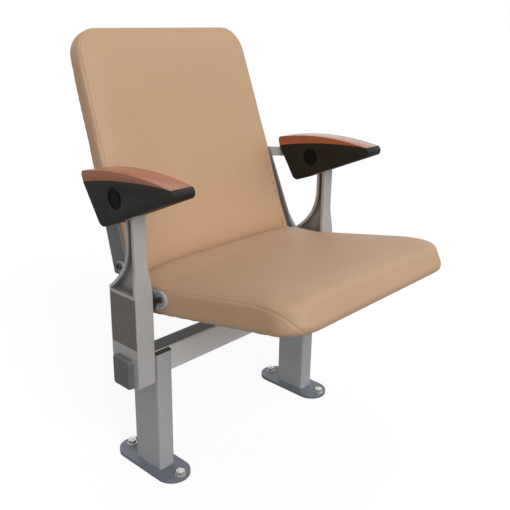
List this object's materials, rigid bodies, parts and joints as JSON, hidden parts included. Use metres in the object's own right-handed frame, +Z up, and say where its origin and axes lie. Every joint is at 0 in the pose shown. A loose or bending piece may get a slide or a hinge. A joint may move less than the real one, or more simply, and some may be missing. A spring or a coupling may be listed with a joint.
{
  "type": "tip up auditorium seat",
  "caption": "Floor standing tip up auditorium seat with padded seat and back, wood topped armrests, side standards and a cross beam on two bolted feet.",
  "frame": {"origin": "on the floor, at the centre of the rectangle of the four floor bolt holes, midway between the feet", "axes": "+Z up, +X to the sitter's left along the row, +Y to the back of the seat, so the sitter faces -Y"},
  "size_m": [0.6244, 0.6296, 0.8749],
  "materials": {
    "grey_casting": "satin powder coat over cast iron",
    "grey_paint": "satin powder coat",
    "floor_plate_paint": "satin powder coat",
    "bracket_paint": "satin powder coat",
    "black_moulding": "fine grain",
    "taupe_cover": "fine grain",
    "armrest_wood": "clear lacquer",
    "tan_leather": "satin, fine grain",
    "plywood": "plain",
    "zinc": "zinc plated",
    "bright_steel": "brushed",
    "bronze": "plain",
    "buffer_rubber": "matt"
  },
  "bodies": {
    "frame": {"arm_bolts": "zinc", "arm_nuts": "zinc", "arm_plugs": "black_moulding", "arm_strap_left": "bracket_paint", "arm_strap_right": "bracket_paint", "armrest_body_left": "black_moulding", "armrest_body_right": "black_moulding", "armrest_top_left": "armrest_wood", "armrest_top_right": "armrest_wood", "back_bar_left": "bracket_paint", "back_bar_right": "bracket_paint", "backrest_board": "plywood", "backrest_cushion": "tan_leather", "backrest_panel": "black_moulding", "backrest_panel_screws": "zinc", "backrest_rails": "plywood", "beam_end_cap_left": "black_moulding", "beam_end_cap_right": "black_moulding", "beam_strip": "black_moulding", "clamp_screws": "zinc", "cross_beam": "grey_paint", "down_buffer_left": "buffer_rubber", "down_buffer_right": "buffer_rubber", "floor_nuts": "zinc", "floor_plate_left": "floor_plate_paint", "floor_plate_right": "floor_plate_paint", "floor_washers": "zinc", "leg_cap_left": "black_moulding", "leg_cap_right": "black_moulding", "leg_left": "grey_paint", "leg_right": "grey_paint", "leg_saddle_left": "grey_paint", "leg_saddle_right": "grey_paint", "lug_bolts": "zinc", "pivot_bush_left": "bronze", "pivot_bush_right": "bronze", "saddle_bolts": "zinc", "side_cover_left": "taupe_cover", "side_cover_right": "taupe_cover", "standard_left": "grey_casting", "standard_right": "grey_casting", "strap_bolts": "zinc", "torsion_spring_left": "bright_steel", "torsion_spring_right": "bright_steel", "up_buffer_left": "buffer_rubber", "up_buffer_right": "buffer_rubber"},
    "seat": {"axle_circlips": "zinc", "hinge_plate_left": "bright_steel", "hinge_plate_right": "bright_steel", "hinge_screws": "zinc", "pivot_axle_left": "bright_steel", "pivot_axle_right": "bright_steel", "seat_board": "plywood", "seat_cushion": "tan_leather", "seat_panel_screws": "zinc", "seat_rails": "plywood", "seat_underside_panel": "black_moulding", "stop_lever_left": "bright_steel", "stop_lever_right": "bright_steel"}
  },
  "joints": [
    {"name": "seat_hinge", "type": "hinge", "parent": "frame", "child": "seat", "pos_m": [0, -0.027, 0.388], "axis": [-1, 0, 0], "range_deg": [0, 75]}
  ]
}
